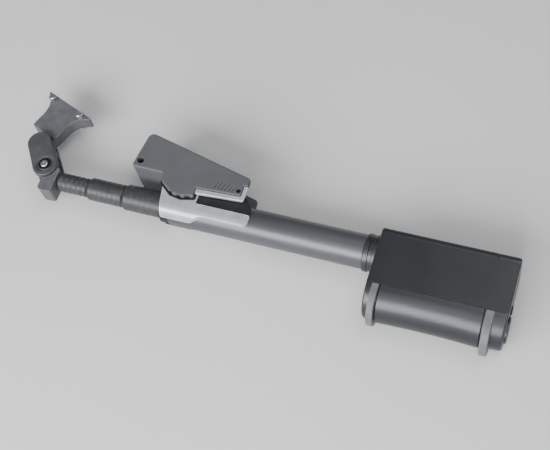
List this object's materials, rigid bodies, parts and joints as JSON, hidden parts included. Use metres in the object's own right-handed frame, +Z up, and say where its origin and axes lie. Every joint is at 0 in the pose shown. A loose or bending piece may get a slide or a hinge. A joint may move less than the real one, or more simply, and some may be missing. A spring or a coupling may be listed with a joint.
{
  "type": "telescoping search wand",
  "caption": "Collapsed telescoping detector wand: nested pole with twist collars, swivel head plate, folding grip and rear electronics housing.",
  "frame": {"origin": "centre of the footprint on the surface that the wand lies on", "axes": "+X along the pole from the swivel head to the housing; +Z up, through the housing's label panel; +Y towards the folded grip"},
  "size_m": [0.4214, 0.136, 0.04],
  "materials": {
    "anodised_grey": "grey anodised, satin",
    "collar_black": "ribbed dark plastic, matte",
    "silver_paint": "silver, satin",
    "steel": "bright steel",
    "grip_plastic": "dark grey moulded plastic, fine grain",
    "bracket_black": "black, matte",
    "housing_anodised": "near-black anodised extrusion, satin",
    "label_film": "near-black printed panel, blank",
    "link_grey": "dark grey moulded plastic, satin",
    "board_green": "green board",
    "cell_wrap": "dark wrap",
    "glide_white": "natural acetal"
  },
  "bodies": {
    "handle": {"outer_tube": "anodised_grey", "mouth_bushing": "bracket_black", "tube_end_ring": "housing_anodised", "saddle": "silver_paint", "hinge_bracket": "bracket_black", "grip_pivot_pin": "steel", "housing_body": "housing_anodised", "housing_front_cap": "housing_anodised", "housing_rear_cap": "housing_anodised", "label_panel": "label_film", "main_board": "board_green", "rf_shield": "steel", "power_switch": "bracket_black", "battery_pack": "cell_wrap", "battery_spring": "steel", "cap_screw_1": "steel", "cap_screw_2": "steel", "cap_screw_3": "steel", "cap_screw_4": "steel"},
    "stage_d": {"stage_tube_d": "anodised_grey", "lock_sleeve_3": "glide_white"},
    "collar_3": {"collar_3": "collar_black"},
    "stage_c": {"stage_tube_c": "anodised_grey", "lock_sleeve_2": "glide_white"},
    "collar_2": {"collar_2": "collar_black"},
    "stage_b": {"stage_tube_b": "anodised_grey", "lock_sleeve_1": "glide_white"},
    "collar_1": {"collar_1": "collar_black"},
    "stage_a": {"stage_tube_a": "anodised_grey", "pole_end_block": "link_grey"},
    "link": {"swivel_link": "link_grey", "pivot_screw_1": "steel", "pivot_nut_1": "steel"},
    "head": {"head_plate": "link_grey", "pivot_screw_2": "steel"},
    "thumbscrew_left": {"thumbscrew_left": "steel"},
    "thumbscrew_right": {"thumbscrew_right": "steel"},
    "grip": {"grip_shell_upper": "grip_plastic", "grip_shell_lower": "grip_plastic", "grip_trim_upper": "silver_paint", "grip_trim_lower": "silver_paint", "grip_screw": "steel", "trigger_pin": "steel", "trigger_spring": "steel", "trigger_switch": "bracket_black"},
    "trigger": {"trigger": "bracket_black"},
    "battery_cap": {"battery_cap": "housing_anodised"},
    "power_button": {"power_button": "bracket_black"}
  },
  "joints": [
    {"name": "stage_d_slide", "type": "slide", "parent": "handle", "child": "stage_d", "axis": [-1, 0, 0], "range_m": [0, 0.225]},
    {"name": "collar_3_twist", "type": "hinge", "parent": "stage_d", "child": "collar_3", "pos_m": [-0.08972, -0.01042, 0.0196], "axis": [1, 0, 0], "range_deg": [0, 90]},
    {"name": "stage_c_slide", "type": "slide", "parent": "stage_d", "child": "stage_c", "axis": [-1, 0, 0], "range_m": [0, 0.235]},
    {"name": "collar_2_twist", "type": "hinge", "parent": "stage_c", "child": "collar_2", "pos_m": [-0.12272, -0.01042, 0.0196], "axis": [1, 0, 0], "range_deg": [0, 90]},
    {"name": "stage_b_slide", "type": "slide", "parent": "stage_c", "child": "stage_b", "axis": [-1, 0, 0], "range_m": [0, 0.24]},
    {"name": "collar_1_twist", "type": "hinge", "parent": "stage_b", "child": "collar_1", "pos_m": [-0.15372, -0.01042, 0.0196], "axis": [1, 0, 0], "range_deg": [0, 90]},
    {"name": "stage_a_slide", "type": "slide", "parent": "stage_b", "child": "stage_a", "axis": [-1, 0, 0], "range_m": [0, 0.24]},
    {"name": "link_swivel", "type": "hinge", "parent": "stage_a", "child": "link", "pos_m": [-0.18172, -0.00292, 0.0196], "axis": [0, 0, 1], "range_deg": [0, 75]},
    {"name": "head_swivel", "type": "hinge", "parent": "link", "child": "head", "pos_m": [-0.19522, 0.01578, 0.0196], "axis": [0, 0, 1], "range_deg": [-30, 110]},
    {"name": "thumbscrew_left_turn", "type": "hinge", "parent": "head", "child": "thumbscrew_left", "pos_m": [-0.20316, 0.06095, 0.0196], "axis": [0, 0, 1], "continuous": true},
    {"name": "thumbscrew_right_turn", "type": "hinge", "parent": "head", "child": "thumbscrew_right", "pos_m": [-0.17332, 0.04938, 0.0196], "axis": [0, 0, 1], "continuous": true},
    {"name": "grip_fold", "type": "hinge", "parent": "handle", "child": "grip", "pos_m": [-0.01252, 0.00688, 0.0196], "axis": [0, 0, -1], "range_deg": [0, 100]},
    {"name": "trigger_pull", "type": "hinge", "parent": "grip", "child": "trigger", "pos_m": [-0.02372, 0.01518, 0.0196], "axis": [0, 0, -1], "range_deg": [0, 9], "stiffness_Nm_per_rad": 0.4, "springref_deg": -2.86},
    {"name": "battery_cap_turn", "type": "hinge", "parent": "handle", "child": "battery_cap", "pos_m": [0.20528, -0.04572, 0.0196], "axis": [-1, 0, 0], "range_deg": [0, 90]},
    {"name": "power_button_press", "type": "slide", "parent": "handle", "child": "power_button", "axis": [-1, 0, 0], "range_m": [0, 0.0012], "stiffness_N_per_m": 900, "springref_m": -0.0006}
  ]
}
